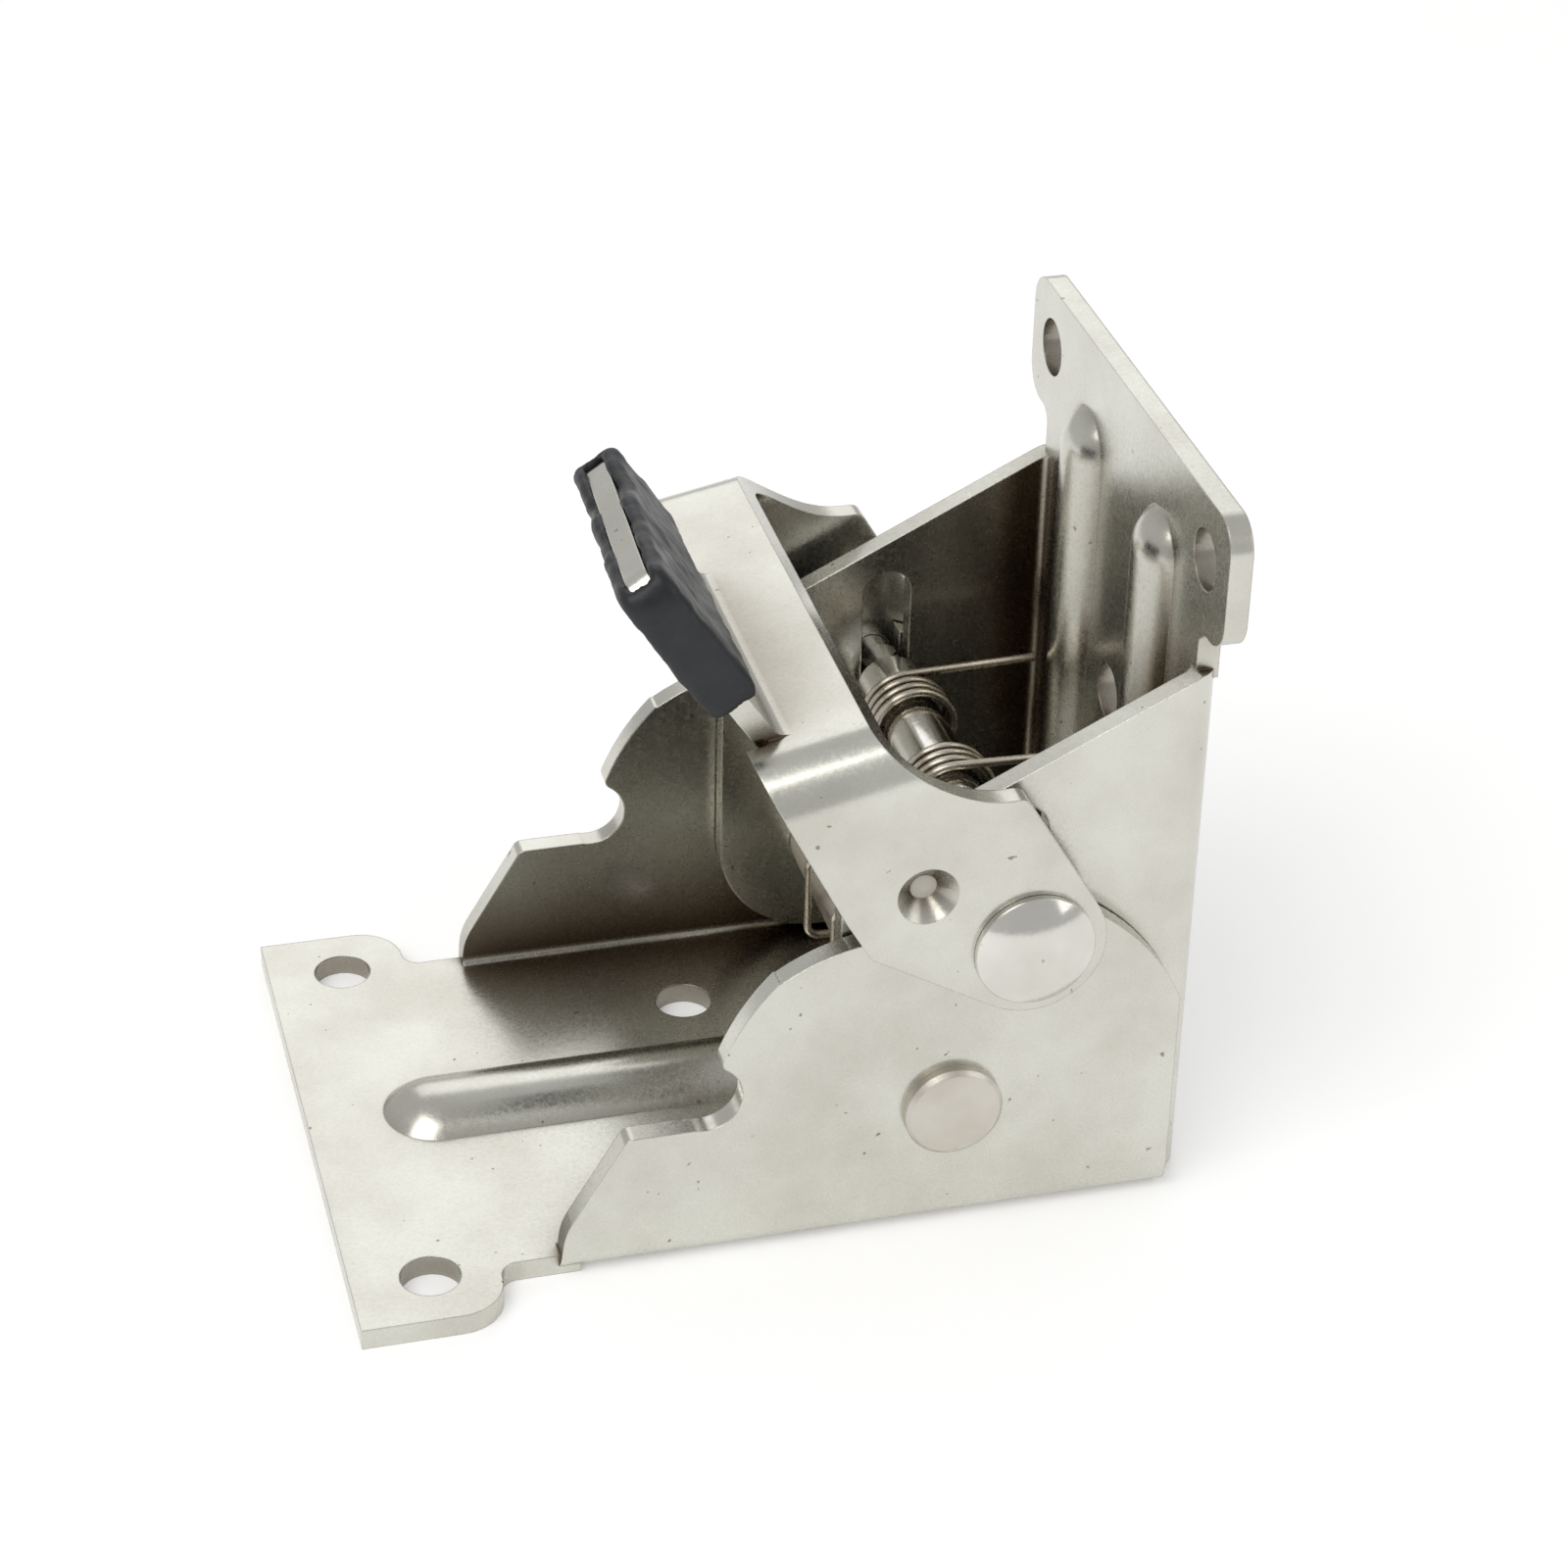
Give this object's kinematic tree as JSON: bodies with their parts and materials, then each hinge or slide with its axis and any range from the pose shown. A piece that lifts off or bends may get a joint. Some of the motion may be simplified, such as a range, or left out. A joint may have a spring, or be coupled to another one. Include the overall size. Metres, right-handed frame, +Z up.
{
  "type": "folding table leg bracket",
  "caption": "Self-locking folding bracket for a table leg: two pressed steel channels hinged on a rivet, with a sprung lock pin and a release lever with a black vinyl grip.",
  "frame": {"origin": "on the table face, under the middle of the whole bracket's box", "axes": "+X along the table plate towards the leg plate, +Y across the bracket, +Z up from the table face along the open leg"},
  "size_m": [0.0756, 0.0586, 0.068],
  "materials": {
    "nickel_plate": "nickel plate, soft warm shine",
    "rivet_steel": "bright nickel plate",
    "spring_wire": "drawn wire",
    "black_vinyl": "satin vinyl, worn at the end"
  },
  "bodies": {
    "table_side": {"table_bracket": "nickel_plate", "pivot_rivet": "rivet_steel"},
    "leg_side": {"leg_bracket": "nickel_plate"},
    "lock": {"lock_pin": "rivet_steel", "lock_spring": "spring_wire"},
    "lever": {"lever": "nickel_plate", "grip_sleeve": "black_vinyl"}
  },
  "joints": [
    {"name": "leg_fold", "type": "hinge", "parent": "table_side", "child": "leg_side", "pos_m": [0.01515, 0, 0.0128], "axis": [0, -1, 0], "range_deg": [0, 90]},
    {"name": "pin_lift", "type": "slide", "parent": "leg_side", "child": "lock", "axis": [0, 0, 1], "range_m": [0, 0.0088], "deforming": ["lock_spring"]},
    {"name": "lever_tilt", "type": "hinge", "parent": "lock", "child": "lever", "pos_m": [0.02095, 0, 0.0302], "axis": [0, -1, 0], "range_deg": [-30, 0]}
  ],
  "couplings": [
    {"joint": "pin_lift", "follows": "leg_fold", "m_per_rad": 0.0056},
    {"joint": "lever_tilt", "follows": "leg_fold", "ratio": -0.33333}
  ]
}
